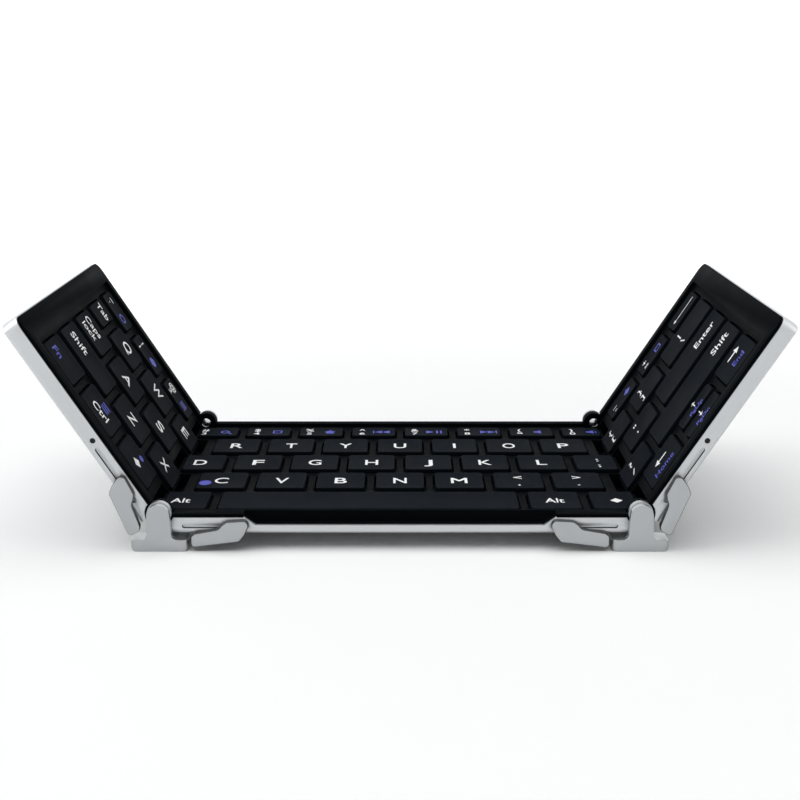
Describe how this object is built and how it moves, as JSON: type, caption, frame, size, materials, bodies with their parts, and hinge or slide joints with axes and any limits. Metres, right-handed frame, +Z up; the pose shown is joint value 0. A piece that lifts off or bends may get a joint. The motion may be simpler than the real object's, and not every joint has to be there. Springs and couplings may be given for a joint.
{
  "type": "folding keyboard",
  "caption": "Pocket keyboard that folds in three: silver trays with black keys, the wings turning on T-shaped metal feet with links that slide in slots.",
  "frame": {"origin": "on the ground under the middle of the centre panel, halfway between the front and rear feet", "axes": "+X along the keyboard to the typist's right, +Y away from the typist, +Z up"},
  "size_m": [0.2016, 0.0908, 0.0624],
  "materials": {
    "silver": "satin",
    "bright": "satin",
    "frame": "fine grain",
    "steel": "brushed",
    "screw": "blackened",
    "sheet": "matte",
    "battery": "foil wrap",
    "board": "solder mask",
    "key": "matte"
  },
  "bodies": {
    "base": {"centre_tray": "silver", "centre_deck": "frame", "centre_support_plate": "steel", "centre_switch_sheet": "sheet"},
    "left_feet": {"left_front_foot": "bright", "left_rear_foot": "bright", "left_hinge_pins": "steel"},
    "left_wing": {"left_tray": "silver", "left_deck": "frame", "left_support_plate": "steel", "left_switch_sheet": "sheet", "battery": "battery", "left_slot_screws": "screw"},
    "right_feet": {"right_front_foot": "bright", "right_rear_foot": "bright", "right_hinge_pins": "steel"},
    "right_wing": {"right_tray": "silver", "right_deck": "frame", "right_support_plate": "steel", "right_switch_sheet": "sheet", "circuit_board": "board", "charging_socket": "silver", "right_slot_screws": "screw"},
    "left_inner_links": {"left_inner_front_link": "bright", "left_inner_rear_link": "bright"},
    "left_outer_links": {"left_outer_front_link": "bright", "left_outer_rear_link": "bright"},
    "right_inner_links": {"right_inner_front_link": "bright", "right_inner_rear_link": "bright"},
    "right_outer_links": {"right_outer_front_link": "bright", "right_outer_rear_link": "bright"},
    "centre_number_keys": {"centre_number_keys": "key"},
    "centre_top_row_keys": {"centre_top_row_keys": "key"},
    "centre_home_row_keys": {"centre_home_row_keys": "key"},
    "centre_bottom_row_keys": {"centre_bottom_row_keys": "key"},
    "space_bar": {"space_bar": "key"},
    "centre_alt_keys": {"centre_alt_keys": "key"},
    "left_number_keys": {"left_number_keys": "key"},
    "tab_key": {"tab_key": "key"},
    "left_top_row_keys": {"left_top_row_keys": "key"},
    "caps_lock_key": {"caps_lock_key": "key"},
    "left_home_row_keys": {"left_home_row_keys": "key"},
    "left_shift_key": {"left_shift_key": "key"},
    "left_bottom_row_keys": {"left_bottom_row_keys": "key"},
    "left_modifier_keys": {"left_modifier_keys": "key"},
    "right_number_keys": {"right_number_keys": "key"},
    "backspace_key": {"backspace_key": "key"},
    "right_top_row_keys": {"right_top_row_keys": "key"},
    "quote_key": {"quote_key": "key"},
    "enter_key": {"enter_key": "key"},
    "slash_key": {"slash_key": "key"},
    "right_shift_key": {"right_shift_key": "key"},
    "left_right_arrow_keys": {"left_right_arrow_keys": "key"},
    "up_arrow_key": {"up_arrow_key": "key"},
    "down_arrow_key": {"down_arrow_key": "key"}
  },
  "joints": [
    {"name": "left_foot_hinge", "type": "hinge", "parent": "base", "child": "left_feet", "pos_m": [-0.0633, 0, 0.00995], "axis": [0, 1, 0], "range_deg": [0, 90]},
    {"name": "left_wing_hinge", "type": "hinge", "parent": "left_feet", "child": "left_wing", "pos_m": [-0.0633, 0, 0.00995], "axis": [0, 1, 0], "range_deg": [-58, 32]},
    {"name": "left_inner_link_slide", "type": "slide", "parent": "base", "child": "left_inner_links", "axis": [-1, 0, 0], "range_m": [0, 0.0148]},
    {"name": "left_outer_link_slide", "type": "slide", "parent": "left_wing", "child": "left_outer_links", "axis": [0.5299, 0, -0.848], "range_m": [-0.0096, 0.0053]},
    {"name": "right_foot_hinge", "type": "hinge", "parent": "base", "child": "right_feet", "pos_m": [0.0633, 0, 0.00995], "axis": [0, -1, 0], "range_deg": [0, 90]},
    {"name": "right_wing_hinge", "type": "hinge", "parent": "right_feet", "child": "right_wing", "pos_m": [0.0633, 0, 0.00995], "axis": [0, -1, 0], "range_deg": [-58, 32]},
    {"name": "right_inner_link_slide", "type": "slide", "parent": "base", "child": "right_inner_links", "axis": [1, 0, 0], "range_m": [0, 0.0148]},
    {"name": "right_outer_link_slide", "type": "slide", "parent": "right_wing", "child": "right_outer_links", "axis": [-0.5299, 0, -0.848], "range_m": [-0.0096, 0.0053]},
    {"name": "centre_number_keys_press", "type": "slide", "parent": "base", "child": "centre_number_keys", "axis": [0, 0, -1], "range_m": [0, 0.0011], "stiffness_N_per_m": 400, "springref_m": -0.0005},
    {"name": "centre_top_row_keys_press", "type": "slide", "parent": "base", "child": "centre_top_row_keys", "axis": [0, 0, -1], "range_m": [0, 0.0011], "stiffness_N_per_m": 400, "springref_m": -0.0005},
    {"name": "centre_home_row_keys_press", "type": "slide", "parent": "base", "child": "centre_home_row_keys", "axis": [0, 0, -1], "range_m": [0, 0.0011], "stiffness_N_per_m": 400, "springref_m": -0.0005},
    {"name": "centre_bottom_row_keys_press", "type": "slide", "parent": "base", "child": "centre_bottom_row_keys", "axis": [0, 0, -1], "range_m": [0, 0.0011], "stiffness_N_per_m": 400, "springref_m": -0.0005},
    {"name": "space_bar_press", "type": "slide", "parent": "base", "child": "space_bar", "axis": [0, 0, -1], "range_m": [0, 0.0011], "stiffness_N_per_m": 400, "springref_m": -0.0005},
    {"name": "centre_alt_keys_press", "type": "slide", "parent": "base", "child": "centre_alt_keys", "axis": [0, 0, -1], "range_m": [0, 0.0011], "stiffness_N_per_m": 400, "springref_m": -0.0005},
    {"name": "left_number_keys_press", "type": "slide", "parent": "left_wing", "child": "left_number_keys", "axis": [-0.848, 0, -0.5299], "range_m": [0, 0.0011], "stiffness_N_per_m": 400, "springref_m": -0.0005},
    {"name": "tab_key_press", "type": "slide", "parent": "left_wing", "child": "tab_key", "axis": [-0.848, 0, -0.5299], "range_m": [0, 0.0011], "stiffness_N_per_m": 400, "springref_m": -0.0005},
    {"name": "left_top_row_keys_press", "type": "slide", "parent": "left_wing", "child": "left_top_row_keys", "axis": [-0.848, 0, -0.5299], "range_m": [0, 0.0011], "stiffness_N_per_m": 400, "springref_m": -0.0005},
    {"name": "caps_lock_key_press", "type": "slide", "parent": "left_wing", "child": "caps_lock_key", "axis": [-0.848, 0, -0.5299], "range_m": [0, 0.0011], "stiffness_N_per_m": 400, "springref_m": -0.0005},
    {"name": "left_home_row_keys_press", "type": "slide", "parent": "left_wing", "child": "left_home_row_keys", "axis": [-0.848, 0, -0.5299], "range_m": [0, 0.0011], "stiffness_N_per_m": 400, "springref_m": -0.0005},
    {"name": "left_shift_key_press", "type": "slide", "parent": "left_wing", "child": "left_shift_key", "axis": [-0.848, 0, -0.5299], "range_m": [0, 0.0011], "stiffness_N_per_m": 400, "springref_m": -0.0005},
    {"name": "left_bottom_row_keys_press", "type": "slide", "parent": "left_wing", "child": "left_bottom_row_keys", "axis": [-0.848, 0, -0.5299], "range_m": [0, 0.0011], "stiffness_N_per_m": 400, "springref_m": -0.0005},
    {"name": "left_modifier_keys_press", "type": "slide", "parent": "left_wing", "child": "left_modifier_keys", "axis": [-0.848, 0, -0.5299], "range_m": [0, 0.0011], "stiffness_N_per_m": 400, "springref_m": -0.0005},
    {"name": "right_number_keys_press", "type": "slide", "parent": "right_wing", "child": "right_number_keys", "axis": [0.848, 0, -0.5299], "range_m": [0, 0.0011], "stiffness_N_per_m": 400, "springref_m": -0.0005},
    {"name": "backspace_key_press", "type": "slide", "parent": "right_wing", "child": "backspace_key", "axis": [0.848, 0, -0.5299], "range_m": [0, 0.0011], "stiffness_N_per_m": 400, "springref_m": -0.0005},
    {"name": "right_top_row_keys_press", "type": "slide", "parent": "right_wing", "child": "right_top_row_keys", "axis": [0.848, 0, -0.5299], "range_m": [0, 0.0011], "stiffness_N_per_m": 400, "springref_m": -0.0005},
    {"name": "quote_key_press", "type": "slide", "parent": "right_wing", "child": "quote_key", "axis": [0.848, 0, -0.5299], "range_m": [0, 0.0011], "stiffness_N_per_m": 400, "springref_m": -0.0005},
    {"name": "enter_key_press", "type": "slide", "parent": "right_wing", "child": "enter_key", "axis": [0.848, 0, -0.5299], "range_m": [0, 0.0011], "stiffness_N_per_m": 400, "springref_m": -0.0005},
    {"name": "slash_key_press", "type": "slide", "parent": "right_wing", "child": "slash_key", "axis": [0.848, 0, -0.5299], "range_m": [0, 0.0011], "stiffness_N_per_m": 400, "springref_m": -0.0005},
    {"name": "right_shift_key_press", "type": "slide", "parent": "right_wing", "child": "right_shift_key", "axis": [0.848, 0, -0.5299], "range_m": [0, 0.0011], "stiffness_N_per_m": 400, "springref_m": -0.0005},
    {"name": "left_right_arrow_keys_press", "type": "slide", "parent": "right_wing", "child": "left_right_arrow_keys", "axis": [0.848, 0, -0.5299], "range_m": [0, 0.0011], "stiffness_N_per_m": 400, "springref_m": -0.0005},
    {"name": "up_arrow_key_press", "type": "slide", "parent": "right_wing", "child": "up_arrow_key", "axis": [0.848, 0, -0.5299], "range_m": [0, 0.0011], "stiffness_N_per_m": 400, "springref_m": -0.0005},
    {"name": "down_arrow_key_press", "type": "slide", "parent": "right_wing", "child": "down_arrow_key", "axis": [0.848, 0, -0.5299], "range_m": [0, 0.0011], "stiffness_N_per_m": 400, "springref_m": -0.0005}
  ],
  "couplings": [
    {"joint": "left_inner_link_slide", "follows": "left_foot_hinge", "m_per_rad": 0.0093392},
    {"joint": "left_outer_link_slide", "follows": "left_wing_hinge", "m_per_rad": 0.0093392},
    {"joint": "right_inner_link_slide", "follows": "right_foot_hinge", "m_per_rad": 0.0093392},
    {"joint": "right_outer_link_slide", "follows": "right_wing_hinge", "m_per_rad": 0.0093392}
  ]
}
